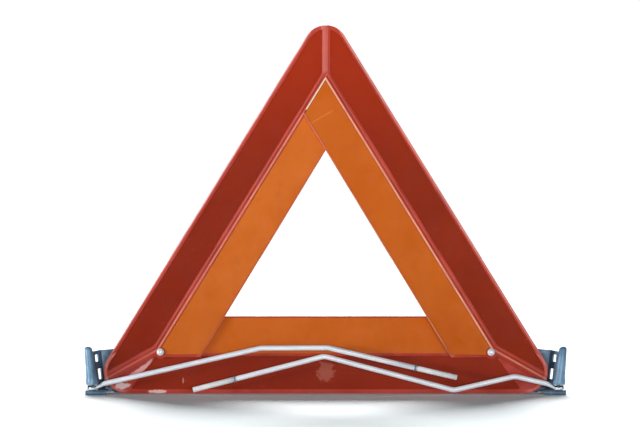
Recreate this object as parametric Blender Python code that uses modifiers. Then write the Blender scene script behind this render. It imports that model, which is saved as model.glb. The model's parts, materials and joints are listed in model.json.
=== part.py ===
"""Folding warning triangle on a pressed-steel base, as separate pieces.

It stands on Z = 0 with its base along X and its front facing -Y. Two side arms turn on
rivets near the bottom corners and fold down over the bottom arm. Two bent wire legs
turn on upright pins at the ends of the base. Sizes are in millimetres, and MM turns
them into metres.
"""

import math

import bmesh
import bpy
from mathutils import Matrix

MM = 0.001
GAP = 0.3  # space kept between touching pieces
PAST = 1.0  # how far a cutter reaches past the face it cuts
TRIM = 10.0  # how far a shape that trims an end reaches past it

# Whole object
HALF_DEPTH = 24.5

# Triangle: the sharp outline that every edge is measured from
HALF_BASE = 251.05
HEIGHT = 407.2
EDGE_Z = 0.3
APEX_RADIUS = 23.4
CORNER_RADIUS = 23.0

# The opening: the height of its top corner, and how far its sides spread per mm of drop
OPENING_TOP = 255.2
OPENING_LEAN = 0.606
BOTTOM_BAND = 80.8

# Lines across an arm, measured in from its outer edge
RIM = 4.0
REFLECTOR_INSET = 34.0
GROOVE_INSETS = (36.6, 38.0)
PANEL_INSET = 41.5
PIVOT_INSET = 43.4
PANEL_EDGE = 1.1  # rim between the panel and the opening
LINE_BEND_RADIUS = 16.0

# Apex: the left arm runs on behind the right arm's straight edge
LEFT_SPLIT = 2.6
RIGHT_SPLIT = -1.7
LEFT_RIM_SPLIT = -3.5
RIGHT_RIM_SPLIT = -5.0
LEFT_PANEL_END = 76.0
RIGHT_PANEL_END = 40.9
TAIL_INSET = 39.7  # from the left edge to the end of the right arm's tail

# Press latch behind the right arm's tail
LATCH_X = -8.0
LATCH_Z = 300.0
STUD_HOLE_RADIUS = 1.8
STUD_SEAT_RADIUS = 3.3
STUD_SEAT_DEPTH = 1.2
STUD_HEAD = (2.2, 0.4)  # radius and height
STUD_SINK = 0.2
SOCKET_RADIUS = 4.0
SOCKET_BORE_RADIUS = 2.6
SOCKET_DEPTH = 1.3
SOCKET_SINK = 0.1

# Shallow hollows in the backs of the side arms
HOLLOW_DEPTH = 0.8
HOLLOW_RIM = 1.7  # how far a hollow stays inside the pocket on the other face

# Layers of the triangle, front to back
ARM_THICKNESS = 4.0
POCKET_DEPTH = 1.6
GROOVE_DEPTH = 1.0
REFLECTOR_THICKNESS = 1.0
PANEL_THICKNESS = 0.9
RIGHT_FRONT = -8.3
LEFT_FRONT = -3.3
BOTTOM_FRONT = 1.0

# Bottom ends of the side arms
LOBE_RADIUS = 7.0
CUT_Z = 38.4
CUT_RIM = 2.4
PIVOT_CLEAR = 4.9

# Bottom arm
TOP_CORNER_RADIUS = 8.0
BOTTOM_RIM = 4.0
BOTTOM_REFLECTOR_TOP = 39.4
BOTTOM_REFLECTOR_FOOT_X = 205.5
BOTTOM_REFLECTOR_TOP_X = 178.0
BOTTOM_PANEL_FOOT_X = 150.0
BOTTOM_PANEL_TOP_X = 127.0
INLAY_CORNER_RADIUS = 1.5
BOSS_X = 80.0
BOSS_Z = 20.0
BOSS_RADIUS = 4.5
BOSS_BORE_RADIUS = 2.2
BOSS_ROOT = 1.5  # how deep a boss is rooted in the arm
BORE_START = 4.0  # where its screw's bore starts, behind the arm

# Pivots of the side arms
PIVOT_HOLE_RADIUS = 2.8
RIVET_RADIUS = 2.5
RIVET_HEAD = (4.0, 2.2)  # radius and height
RIVET_TAIL_RADIUS = 3.6
WASHER_RADIUS = 5.6
SPACER_RADIUS = 5.0
SCREW_RADIUS = 1.9
SCREW_HEAD_RADIUS = 3.8
SCREW_START = 5.0  # where the screw's tip is, behind the arm
SCREW_POINT = 0.5

# Sheet steel of the base
SHEET = 1.5
WALL_BACK = 23.0
WALL_TOP = 48.0
WALL_END_TOP = 44.6
WALL_SLOPE_X = 200.0
WALL_END_X = 239.2
WALL_FOOT_X = 236.0
FLOOR_FRONT = 5.3
FLOOR_END_X = 223.0
FLOOR_NOTCH_TOP = 4.0
RAIL_BENDS = (2.5, 1.0)  # outer and inner radius
TAB_BACK = WALL_BACK - SHEET - GAP
TAB_FRONT = TAB_BACK - SHEET

# End brackets: everything above the foot leans outward
PIN_X = 243.6
PIN_Y = -16.0
LEAN = 0.115
LEAN_Z = 10.2
FLANGE_FRONT = (240.0, -15.0)
FLANGE_REAR_X = 234.2
TAB_END_X = 207.0
FLANGE_BOTTOM = 2.2
FLANGE_TOP = 45.0
STRIP_BENDS = (2.0, 0.5)  # outer and inner radius
UPPER_WINDOW = ((-8.0, 7.0), (33.5, 41.0))  # ranges in Y and Z
LOWER_WINDOW = ((-2.0, 13.0), (15.0, 26.0))
POST_TOP = 50.2
POST_DOME = 3.5
POST_TAPER = ((4.9, 32.0), (5.6, 18.0), (6.5, 14.0), (6.5, LEAN_Z))  # radius and height
POST_TOP_RADIUS = 4.1
TONGUE_TOP = 4.8
TONGUE_IN_X = 228.5
TONGUE_OUT_X = 250.5
TONGUE_BACK = 1.0
TONGUE_BENDS = (2.0, 0.6)  # outer and inner radius
STOP_X = (236.0, 250.0)  # the low upright edge at the tongue's back, under the swinging wire
STOP_Y = (-0.8, 0.6)
STOP_TOP = 8.7
SLOT_BACK = 7.5  # how far behind the pin the slot over the tongue reaches
SLOT_TOP = LEAN_Z + 0.6
BRACKET_RIVET_X = 214.0
BRACKET_RIVET_Z = {"upper": 34.0, "lower": 12.0}
BRACKET_RIVET_RADIUS = 1.8
BRACKET_RIVET_HEAD = (3.0, 1.2)  # radius and height
BRACKET_RIVET_TAIL = (3.0, 2.6)  # radius at the wall and at its end

# Legs
WIRE_RADIUS = 2.75
EYE_RADIUS = 3.9
EYE_HOLE_RADIUS = 2.0
EYE_Z = (5.1, 7.1)
PIN_RADIUS = 1.7
PIN_HEAD_RADIUS = 3.2
PIN_HEAD_HEIGHT = 1.3
PIN_HEAD_CHAMFER = 0.2
PIN_TOP = 15.5
PIN_ROOM = 0.5  # space above the pin's end, inside the post
NECK = 3.0  # distance from the pin at which the wire starts to rise
NECK_RADIUS = 4.0
EYE_ROOT = 1.0  # how far the wire runs into the eye
THIN_RADIUS = 1.0
TAPER_LENGTH = 11.0
SLEEVE_LENGTH = 43.5
SLEEVE_RADIUS = 2.8
SLEEVE_BORE_RADIUS = 2.1
SLEEVE_FLOOR = 1.7
SLEEVE_CHAMFER = 0.5
SLEEVE_MOUTH = SLEEVE_LENGTH - 0.7
SPIGOT_RADIUS = 1.8  # the wire's thinned end, inside the sleeve
SPIGOT_STEP = 0.4
SPIGOT_END = 2.0
RING_RADII = (3.05, 3.55)
RING_WIDTH = 1.6
RING_START = SLEEVE_LENGTH + 0.5

# The legs' bends as (x, z, bend radius), from the pin outward, and the tips as (x, z)
LEFT_BENDS = ((-231.0, 11.4, 8.0), (-67.7, 48.4, 16.0), (2.5, 48.8, 16.0))
LEFT_TIP = (137.2, 17.6)
RIGHT_BENDS = ((231.2, 11.2, 8.0), (198.0, 18.9, 14.0), (134.2, 4.4, 14.0), (-1.3, 39.9, 14.0))
RIGHT_TIP = (-138.5, 4.7)

TAN_A = HALF_BASE / HEIGHT
SIN_A = math.sin(math.atan(TAN_A))
CUTTER_TURN = math.radians(5.0)
BASE_ANGLE = 90.0 - math.degrees(math.atan(TAN_A))
HALF_ANGLE = BASE_ANGLE / 2
APEX_CENTRE = (0.0, EDGE_Z + HEIGHT - APEX_RADIUS / SIN_A)


# ---------------------------------------------------------------- plane geometry


def polar(centre, radius, degrees):
    turn = math.radians(degrees)
    return (centre[0] + radius * math.cos(turn), centre[1] + radius * math.sin(turn))


def arc(centre, radius, start, end, steps=8):
    return [polar(centre, radius, start + (end - start) * i / steps) for i in range(steps + 1)]


def on_bisector(radius):
    """Centre of a circle of this radius that touches both edges at the left corner."""
    return polar((-HALF_BASE, EDGE_Z), radius / math.sin(math.radians(HALF_ANGLE)), HALF_ANGLE)


CORNER_CENTRE = on_bisector(CORNER_RADIUS)
PIVOT = on_bisector(PIVOT_INSET)


def side_line(inset):
    """A line this far inside the left slanted edge: its height at the middle, and its lean."""
    return (EDGE_Z + HEIGHT - inset / SIN_A, TAN_A)


def opening_line(outset):
    """A line this far outside the left side of the opening, in the same form."""
    return (OPENING_TOP + outset / math.sin(math.atan(OPENING_LEAN)), OPENING_LEAN)


def at_height(line, z):
    top, lean = line
    return (-(top - z) * lean, z)


def at_x(line, x):
    top, lean = line
    return (x, top + x / lean)


def crossing(own, other):
    """Where a line on the left meets the mirror image of another one."""
    z = (own[0] * own[1] + other[0] * other[1]) / (own[1] + other[1])
    return at_height(own, z)


def rounded(points, closed=True, steps=5):
    """Replaces each (a, b, radius) corner of an outline by an arc of that radius."""
    out = []
    for i, point in enumerate(points):
        radius = point[2] if len(point) > 2 else 0.0
        end = not closed and i in (0, len(points) - 1)
        if end or radius <= 0.0:
            out.append((point[0], point[1]))
            continue
        before = points[i - 1]
        after = points[(i + 1) % len(points)]
        turn_in = math.atan2(point[1] - before[1], point[0] - before[0])
        turn_out = math.atan2(after[1] - point[1], after[0] - point[0])
        turn = (turn_out - turn_in + math.pi) % (2 * math.pi) - math.pi
        reach = radius * math.tan(abs(turn) / 2)
        start = (point[0] - reach * math.cos(turn_in), point[1] - reach * math.sin(turn_in))
        side = math.copysign(math.pi / 2, turn)
        centre = polar(start, radius, math.degrees(turn_in + side))
        first = math.degrees(turn_in - side)
        out += arc(centre, radius, first, first + math.degrees(turn), steps)
    return out


def mirrored(points, side):
    """The left-hand outline for side -1, and its mirror image for side 1."""
    return [(-side * x, z) for x, z in points]


# ---------------------------------------------------------------- outlines of the arms


def lower_end():
    """The side arm's round bottom corner, mitre edge, pivot lobe and level cut."""
    cut_angle = 360.0 - math.degrees(math.asin((PIVOT[1] - CUT_Z) / LOBE_RADIUS))
    corner = arc(CORNER_CENTRE, CORNER_RADIUS, 90.0 + BASE_ANGLE, 180.0 + HALF_ANGLE, 10)
    lobe = arc(PIVOT, LOBE_RADIUS, 180.0 + HALF_ANGLE, cut_angle, 10)
    return corner + lobe + [at_height(opening_line(0.0), CUT_Z)]


def apex_arc(radius, x):
    """The round top of a side arm, from the split at x round to its slanted edge."""
    start = math.degrees(math.acos(x / radius))
    return arc(APEX_CENTRE, radius, start, 90.0 + BASE_ANGLE, 10)


def left_arm_outline():
    top = apex_arc(APEX_RADIUS, LEFT_SPLIT)
    return top + lower_end() + [at_x(opening_line(0.0), LEFT_SPLIT)]


def right_arm_outline():
    """Drawn left-handed. Its tail crosses the middle and covers the other arm's tip."""
    top = apex_arc(APEX_RADIUS, RIGHT_SPLIT)
    tail = side_line(TAIL_INSET)
    notch_z = tail[0] - RIGHT_SPLIT / tail[1]
    return top + lower_end() + [crossing(opening_line(0.0), tail), (RIGHT_SPLIT, notch_z)]


def inner_line(inset, split):
    """A line along the arm that bends at the pivot and runs to the corner's rim."""
    offset = PIVOT_INSET - inset
    radius = CORNER_RADIUS - RIM
    bend = polar(PIVOT, offset / math.cos(math.radians(HALF_ANGLE / 2)), 90.0 + 1.5 * HALF_ANGLE)
    end_angle = 180.0 + HALF_ANGLE - math.degrees(math.asin(offset / radius))
    end = polar(CORNER_CENTRE, radius, end_angle)
    top = at_x(side_line(inset), split)
    return rounded([end, (*bend, LINE_BEND_RADIUS), top], closed=False)


def reflector_outline(split, gap):
    inset = REFLECTOR_INSET - gap
    radius = CORNER_RADIUS - RIM - gap
    end_angle = 180.0 + HALF_ANGLE - math.degrees(math.asin((PIVOT_INSET - inset) / radius))
    top = apex_arc(APEX_RADIUS - RIM - gap, split - gap)
    corner = arc(CORNER_CENTRE, radius, 90.0 + BASE_ANGLE, end_angle, 6)
    return top + corner + inner_line(inset, split - gap)[1:]


def groove_outline(split):
    shallow = inner_line(GROOVE_INSETS[0], split)
    deep = inner_line(GROOVE_INSETS[1], split)
    return shallow + deep[::-1]


def panel_outline(other_inset, gap):
    """The panel's pocket, round the pivot and up to a line inside the other arm's edge."""
    outer = PANEL_INSET + gap
    inner = opening_line(PANEL_EDGE + gap)
    bottom = CUT_Z + CUT_RIM + gap
    clear = PIVOT_CLEAR + gap
    first = -math.degrees(math.asin((PIVOT[1] - bottom) / clear))
    last = BASE_ANGLE + math.degrees(math.asin((PIVOT_INSET - outer) / clear))
    hook = arc(PIVOT, clear, last, first, 5)
    far_side = side_line(other_inset + gap)
    tip = crossing(side_line(outer), far_side)
    heel = crossing(inner, far_side)
    return [tip, *hook, at_height(inner, bottom), heel]


def bottom_arm_outline():
    top = EDGE_Z + BOTTOM_BAND
    top_x = -at_height(side_line(0.0), top)[0]
    foot = [(-HALF_BASE, EDGE_Z, CORNER_RADIUS), (HALF_BASE, EDGE_Z, CORNER_RADIUS)]
    head = [(top_x, top, TOP_CORNER_RADIUS), (-top_x, top, TOP_CORNER_RADIUS)]
    return rounded(foot + head, steps=8)


def level_strip(low, high, foot, head, radius):
    """A strip along the base, with slanted ends and rounded corners."""
    corners = [(-foot, low), (foot, low), (head, high), (-head, high)]
    return rounded([(*corner, radius) for corner in corners], steps=3)


def bottom_reflector_outline(gap):
    low = EDGE_Z + BOTTOM_RIM + gap
    high = EDGE_Z + BOTTOM_REFLECTOR_TOP - gap
    foot = BOTTOM_REFLECTOR_FOOT_X - gap
    head = BOTTOM_REFLECTOR_TOP_X - gap
    return level_strip(low, high, foot, head, INLAY_CORNER_RADIUS)


def bottom_panel_outline(gap):
    low = EDGE_Z + PANEL_INSET + gap
    high = EDGE_Z + BOTTOM_BAND - PANEL_EDGE - gap
    return level_strip(low, high, BOTTOM_PANEL_FOOT_X - gap, BOTTOM_PANEL_TOP_X - gap, 0.0)


# ---------------------------------------------------------------- objects


def clear_scene():
    for obj in list(bpy.data.objects):
        bpy.data.objects.remove(obj)


def collection(name, hidden=False):
    made = bpy.data.collections.new(name)
    made.hide_render = hidden
    bpy.context.scene.collection.children.link(made)
    return made


def material(name, colour, roughness, metallic=0.0):
    made = bpy.data.materials.new(name)
    made.use_nodes = True
    shader = made.node_tree.nodes["Principled BSDF"]
    shader.inputs["Base Color"].default_value = (*colour, 1.0)
    shader.inputs["Roughness"].default_value = roughness
    shader.inputs["Metallic"].default_value = metallic
    return made


clear_scene()
PARTS = collection("warning_triangle")
CUTTERS = collection("cutters", hidden=True)
CARRIER = material("carrier_red_plastic", (0.42, 0.07, 0.05), 0.45)
REFLECTOR = material("red_reflector", (0.25, 0.02, 0.01), 0.25)
PANEL = material("fluorescent_orange", (0.80, 0.16, 0.02), 0.5)
STEEL = material("blue_grey_steel", (0.17, 0.26, 0.35), 0.4, 0.3)
WIRE = material("zinc_plated_wire", (0.80, 0.81, 0.83), 0.3, 0.8)
PALE = material("pale_sleeve_plastic", (0.80, 0.80, 0.80), 0.5)
RIVET = material("bright_rivet", (0.85, 0.85, 0.85), 0.3, 0.9)


def finish(name, mesh, finish_material):
    """Welds the mesh, shades it and makes it a part, or a cutter when it has no material."""
    shape = bmesh.new()
    shape.from_mesh(mesh)
    bmesh.ops.remove_doubles(shape, verts=shape.verts, dist=1e-6)
    bmesh.ops.recalc_face_normals(shape, faces=shape.faces)
    shape.to_mesh(mesh)
    shape.free()
    obj = bpy.data.objects.new(name, mesh)
    mesh.materials.clear()
    mesh.shade_smooth()
    mesh.set_sharp_from_angle(angle=math.radians(30.0))
    if finish_material is None:
        obj.hide_render = True
        obj.display_type = "WIRE"
        CUTTERS.objects.link(obj)
    else:
        mesh.materials.append(finish_material)
        PARTS.objects.link(obj)
    return obj


def baked(guide, name, finish_material):
    """Turns a curve, or an object with modifiers, into a plain mesh part in world space."""
    PARTS.objects.link(guide)
    bpy.context.view_layer.update()
    graph = bpy.context.evaluated_depsgraph_get()
    mesh = bpy.data.meshes.new_from_object(guide.evaluated_get(graph))
    mesh.transform(guide.matrix_world)
    bpy.data.objects.remove(guide)
    return finish(name, mesh, finish_material)


def flat_curve(outlines, half_thickness):
    curve = bpy.data.curves.new("outline", "CURVE")
    curve.dimensions = "2D"
    curve.fill_mode = "BOTH"
    curve.extrude = half_thickness * MM
    for outline in outlines:
        spline = curve.splines.new("POLY")
        spline.points.add(len(outline) - 1)
        for point, (a, b) in zip(spline.points, outline):
            point.co = (a * MM, b * MM, 0.0, 1.0)
        spline.use_cyclic_u = True
    return curve


def upright_plate(name, outline, front, back, finish_material=None, holes=()):
    """A flat piece facing front: its outline is in X and Z, its thickness along Y."""
    circles = [arc(centre, radius, 0.0, 360.0, 20)[:-1] for centre, radius in holes]
    curve = flat_curve([outline, *circles], (back - front) / 2)
    guide = bpy.data.objects.new("guide", curve)
    guide.rotation_euler.x = math.pi / 2
    guide.location.y = (front + back) / 2 * MM
    return baked(guide, name, finish_material)


def level_plate(name, outline, bottom, top, finish_material=None):
    """A flat piece lying level: its outline is in X and Y, its thickness along Z."""
    curve = flat_curve([outline], (top - bottom) / 2)
    guide = bpy.data.objects.new("guide", curve)
    guide.location.z = (bottom + top) / 2 * MM
    return baked(guide, name, finish_material)


def bent_sheet(name, section, low, high, finish_material=None):
    """A sheet bent along X: its section is in Y and Z, and it runs from low to high."""
    guide = bpy.data.objects.new("guide", flat_curve([section], (high - low) / 2))
    guide.rotation_euler = (math.pi / 2, 0.0, math.pi / 2)
    guide.location.x = (low + high) / 2 * MM
    return baked(guide, name, finish_material)


def box(name, low, high):
    centre = [(a + b) / 2 * MM for a, b in zip(low, high)]
    size = [(b - a) * MM for a, b in zip(low, high)]
    mesh = bpy.data.meshes.new(name)
    shape = bmesh.new()
    place = Matrix.Translation(centre) @ Matrix.Diagonal((*size, 1.0))
    bmesh.ops.create_cube(shape, size=1.0, matrix=place)
    shape.to_mesh(mesh)
    shape.free()
    return finish(name, mesh, None)


def turned(name, profile, place, finish_material=None, closed=False, steps=24):
    """Turns a profile of (radius, height) points, listed from the top down, about local Z."""
    mesh = bpy.data.meshes.new("profile")
    points = [(radius * MM, 0.0, height * MM) for radius, height in profile]
    edges = [(i, i + 1) for i in range(len(points) - 1)]
    if closed:
        edges.append((len(points) - 1, 0))
    mesh.from_pydata(points, edges, [])
    guide = bpy.data.objects.new("guide", mesh)
    screw = guide.modifiers.new("turn", "SCREW")
    screw.steps = steps
    screw.render_steps = steps
    screw.use_merge_vertices = True
    screw.merge_threshold = 1e-5
    guide.matrix_world = place
    return baked(guide, name, finish_material)


def facing_front(x, z):
    """Places a turned piece so that its top faces -Y. Its heights are then minus Y."""
    return Matrix.Translation((x * MM, 0.0, z * MM)) @ Matrix.Rotation(math.pi / 2, 4, "X")


def fore_aft(profile):
    return [(radius, -y) for radius, y in profile]


def pin_cutter(name, x, z, radius, front, back):
    profile = [(0.0, front), (radius, front), (radius, back), (0.0, back)]
    return turned(name, fore_aft(profile), facing_front(x, z))


def standing_cutter(name, x, y, radius, bottom, top):
    """An upright cylinder, turned a little so that its corners miss those of what it cuts."""
    profile = [(0.0, top), (radius, top), (radius, bottom), (0.0, bottom)]
    place = Matrix.Translation((x * MM, y * MM, 0.0)) @ Matrix.Rotation(CUTTER_TURN, 4, "Z")
    return turned(name, profile, place)


def boolean(obj, operation, *others):
    for other in others:
        step = obj.modifiers.new(other.name, "BOOLEAN")
        step.operation = operation
        step.solver = "EXACT"
        step.object = other


def dome(radius, height, base, steps=4):
    """Profile of a round head from its crown out to its rim, at heights above base."""
    turns = [math.pi / 2 * i / steps for i in range(steps + 1)]
    return [(radius * math.sin(turn), base + height * math.cos(turn)) for turn in turns]


def axis(name, x, y, z):
    """An empty on a joint's axis, which the pieces of that moving body hang from."""
    empty = bpy.data.objects.new(name, None)
    empty.location = (x * MM, y * MM, z * MM)
    PARTS.objects.link(empty)
    return empty


def hang(empty, *objects):
    for obj in objects:
        obj.parent = empty
        obj.matrix_parent_inverse = Matrix.Translation(empty.location).inverted()


# ---------------------------------------------------------------- triangle


def inlay(name, outline, front, thickness, finish_material):
    """A strip that lies in a pocket, with a gap all round and behind it."""
    back = front + POCKET_DEPTH - GAP
    return upright_plate(name, outline, back - thickness, back, finish_material)


def side_arm(side, label, outline, front, split, panel_end):
    """One folding arm: carrier, reflector and panel. It returns the three."""
    back = front + ARM_THICKNESS
    pocket = (front - PAST, front + POCKET_DEPTH)
    hollow = (back - HOLLOW_DEPTH, back + PAST)
    hole = ((side * -PIVOT[0], PIVOT[1]), PIVOT_HOLE_RADIUS)

    def plate(name, points, *layers, finish_material=None, holes=()):
        return upright_plate(name, mirrored(points, side), *layers, finish_material, holes)

    body = plate(f"arm_{label}", outline, front, back, finish_material=CARRIER, holes=[hole])
    reflector_pocket = plate(f"cut_reflector_{label}", reflector_outline(split, 0.0), *pocket)
    groove = plate(f"cut_groove_{label}", groove_outline(split), front - PAST, front + GROOVE_DEPTH)
    panel_pocket = plate(f"cut_panel_{label}", panel_outline(panel_end, 0.0), *pocket)
    boolean(body, "DIFFERENCE", reflector_pocket, groove, panel_pocket)
    outer_hollow = plate(f"cut_outer_hollow_{label}", reflector_outline(split, HOLLOW_RIM), *hollow)
    inner_outline = panel_outline(LEFT_PANEL_END, HOLLOW_RIM)
    inner_hollow = plate(f"cut_inner_hollow_{label}", inner_outline, *hollow)
    boolean(body, "DIFFERENCE", outer_hollow, inner_hollow)
    strip = mirrored(reflector_outline(split, GAP), side)
    reflector = inlay(f"red_reflector_{label}", strip, front, REFLECTOR_THICKNESS, REFLECTOR)
    sheet = mirrored(panel_outline(panel_end, GAP), side)
    panel = inlay(f"fluorescent_panel_{label}", sheet, front, PANEL_THICKNESS, PANEL)
    return body, reflector, panel


def bottom_arm():
    front = BOTTOM_FRONT
    back = front + ARM_THICKNESS
    pocket = (front - PAST, front + POCKET_DEPTH)
    pivots = [((x, PIVOT[1]), PIVOT_HOLE_RADIUS) for x in (PIVOT[0], -PIVOT[0])]
    body = upright_plate("arm_bottom", bottom_arm_outline(), front, back, CARRIER, holes=pivots)
    reflector_pocket = upright_plate("cut_reflector_bottom", bottom_reflector_outline(0.0), *pocket)
    panel_pocket = upright_plate("cut_panel_bottom", bottom_panel_outline(0.0), *pocket)
    boolean(body, "DIFFERENCE", reflector_pocket, panel_pocket)
    wall_front = WALL_BACK - SHEET
    for side, label in ((-1, "left"), (1, "right")):
        place = (side * BOSS_X, BOSS_Z)
        length = (back - BOSS_ROOT, wall_front - GAP)
        boss = pin_cutter(f"boss_{label}", *place, BOSS_RADIUS, *length)
        depth = (back + BORE_START, wall_front + PAST)
        bore = pin_cutter(f"boss_bore_{label}", *place, BOSS_BORE_RADIUS, *depth)
        boolean(body, "UNION", boss)
        boolean(body, "DIFFERENCE", bore)
    inlay("red_reflector_bottom", bottom_reflector_outline(GAP), front, REFLECTOR_THICKNESS, REFLECTOR)
    inlay("fluorescent_panel_bottom", bottom_panel_outline(GAP), front, PANEL_THICKNESS, PANEL)


def latch(left_arm, right_arm):
    """A low stud on the left arm faces a ring sunk in the back of the right arm."""
    left_back = LEFT_FRONT + ARM_THICKNESS
    right_back = RIGHT_FRONT + ARM_THICKNESS
    place = (LATCH_X, LATCH_Z)
    seat_front = left_back - STUD_SEAT_DEPTH
    stepped = [
        (0.0, LEFT_FRONT - PAST),
        (STUD_HOLE_RADIUS, LEFT_FRONT - PAST),
        (STUD_HOLE_RADIUS, seat_front),
        (STUD_SEAT_RADIUS, seat_front),
        (STUD_SEAT_RADIUS, left_back + PAST),
        (0.0, left_back + PAST),
    ]
    boolean(left_arm, "DIFFERENCE", turned("cut_stud", fore_aft(stepped), facing_front(*place)))
    recess_front = right_back - SOCKET_DEPTH
    recess = pin_cutter("cut_socket", *place, SOCKET_RADIUS, recess_front, right_back + PAST)
    boolean(right_arm, "DIFFERENCE", recess)
    tail = seat_front + GAP
    stud_profile = [
        *[(radius, -height) for radius, height in dome(*STUD_HEAD, GAP - LEFT_FRONT, 3)],
        (STUD_HOLE_RADIUS - GAP, LEFT_FRONT - GAP),
        (STUD_HOLE_RADIUS - GAP, tail),
        (STUD_SEAT_RADIUS - GAP, tail),
        (STUD_SEAT_RADIUS - GAP, left_back - STUD_SINK),
        (0.0, left_back - STUD_SINK),
    ]
    stud = turned("apex_stud", fore_aft(stud_profile), facing_front(*place), RIVET)
    ring_radii = (SOCKET_BORE_RADIUS, SOCKET_RADIUS - GAP)
    ring = tube_profile(ring_radii, recess_front + GAP, right_back - SOCKET_SINK)
    socket = turned("apex_socket", fore_aft(ring), facing_front(*place), RIVET, closed=True)
    return stud, socket


def tube_profile(radii, front, back):
    """Closed profile of a tube between an inner and an outer radius."""
    inner, outer = radii
    return [(outer, front), (outer, back), (inner, back), (inner, front)]


def arm_fixings():
    """Pivot rivets, the washer under the right arm, rail spacers and base screws."""
    wall_front = WALL_BACK - SHEET
    behind_arm = BOTTOM_FRONT + ARM_THICKNESS
    tail = (WALL_BACK + GAP, HALF_DEPTH)
    for side, label, face in ((-1, "left", LEFT_FRONT), (1, "right", RIGHT_FRONT)):
        place = facing_front(-side * PIVOT[0], PIVOT[1])
        head = [(radius, -height) for radius, height in dome(*RIVET_HEAD, GAP - face)]
        shank = [
            (RIVET_RADIUS, face - GAP),
            (RIVET_RADIUS, tail[0]),
            (RIVET_TAIL_RADIUS, tail[0]),
            (RIVET_TAIL_RADIUS, tail[1]),
            (0.0, tail[1]),
        ]
        turned(f"arm_rivet_{label}", fore_aft(head + shank), place, RIVET)
        tube = tube_profile((PIVOT_HOLE_RADIUS, SPACER_RADIUS), behind_arm + GAP, wall_front - GAP)
        turned(f"rail_spacer_{label}", fore_aft(tube), place, RIVET, closed=True)
        start = behind_arm + SCREW_START
        screw = [
            (0.0, start),
            (SCREW_RADIUS, start + SCREW_POINT),
            (SCREW_RADIUS, tail[0]),
            (SCREW_HEAD_RADIUS, tail[0]),
            (SCREW_HEAD_RADIUS - GAP, tail[1]),
            (0.0, tail[1]),
        ]
        turned(f"base_screw_{label}", fore_aft(screw), facing_front(side * BOSS_X, BOSS_Z), RIVET)
    front = RIGHT_FRONT + ARM_THICKNESS + GAP
    washer = tube_profile((PIVOT_HOLE_RADIUS, WASHER_RADIUS), front, BOTTOM_FRONT - GAP)
    place = facing_front(-PIVOT[0], PIVOT[1])
    turned("layer_washer_right", fore_aft(washer), place, RIVET, closed=True)


def triangle():
    bottom_arm()
    left_shape = (left_arm_outline(), LEFT_FRONT, LEFT_RIM_SPLIT, LEFT_PANEL_END)
    left = side_arm(-1, "left", *left_shape)
    right_shape = (right_arm_outline(), RIGHT_FRONT, RIGHT_RIM_SPLIT, RIGHT_PANEL_END)
    right = side_arm(1, "right", *right_shape)
    stud, socket = latch(left[0], right[0])
    arm_fixings()
    hang(axis("left_arm_axis", PIVOT[0], LEFT_FRONT, PIVOT[1]), *left, stud)
    hang(axis("right_arm_axis", -PIVOT[0], RIGHT_FRONT, PIVOT[1]), *right, socket)


# ---------------------------------------------------------------- base


def base_rail():
    """A bent sheet: a floor, and a rear wall whose ends slope down and in."""
    front = WALL_BACK - SHEET
    section = rounded(
        [
            (FLOOR_FRONT, 0.0),
            (WALL_BACK, 0.0, RAIL_BENDS[0]),
            (WALL_BACK, WALL_TOP),
            (front, WALL_TOP),
            (front, SHEET, RAIL_BENDS[1]),
            (FLOOR_FRONT, SHEET),
        ],
        steps=4,
    )
    reach = WALL_END_X + PAST
    rail = bent_sheet("base_rail", section, -reach, reach, STEEL)
    for side, label in ((-1, "left"), (1, "right")):
        end = [(side * x, z) for x, z in wall_end_outline()]
        trim = upright_plate(f"cut_wall_{label}", end, FLOOR_FRONT - TRIM, WALL_BACK + PAST)
        near, far = sorted((side * FLOOR_END_X, side * (WALL_END_X + TRIM)))
        top = (far, front - GAP, FLOOR_NOTCH_TOP)
        notch = box(f"cut_floor_{label}", (near, FLOOR_FRONT - PAST, -PAST), top)
        boolean(rail, "DIFFERENCE", trim, notch)
        holes = [
            (-side * PIVOT[0], PIVOT[1], PIVOT_HOLE_RADIUS, "pivot"),
            (side * BOSS_X, BOSS_Z, BOSS_BORE_RADIUS, "screw"),
        ]
        for which, z in BRACKET_RIVET_Z.items():
            holes.append((side * BRACKET_RIVET_X, z, BRACKET_RIVET_RADIUS + GAP, which))
        for x, z, radius, which in holes:
            through = (front - PAST, WALL_BACK + PAST)
            hole = pin_cutter(f"cut_wall_{which}_{label}", x, z, radius, *through)
            boolean(rail, "DIFFERENCE", hole)


def wall_end_outline():
    """What is cut off a rear wall's end: above its sloping top and outside its end."""
    reach = WALL_END_X + TRIM
    above = WALL_TOP + TRIM
    slope = (WALL_TOP - WALL_END_TOP) / (WALL_END_X - WALL_SLOPE_X)
    end_slope = (WALL_END_X - WALL_FOOT_X) / WALL_END_TOP
    return [
        (WALL_SLOPE_X - TRIM, WALL_TOP + TRIM * slope),
        (WALL_END_X, WALL_END_TOP),
        (WALL_FOOT_X - PAST * end_slope, -PAST),
        (reach, -PAST),
        (reach, above),
        (WALL_SLOPE_X - TRIM, above),
    ]


def leaned(obj, side):
    """Shears a piece outward, in proportion to its height above the foot."""
    shear = Matrix.Identity(4)
    shear[0][2] = side * LEAN
    shear[0][3] = -side * LEAN * LEAN_Z * MM
    obj.data.transform(shear)
    return obj


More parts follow.
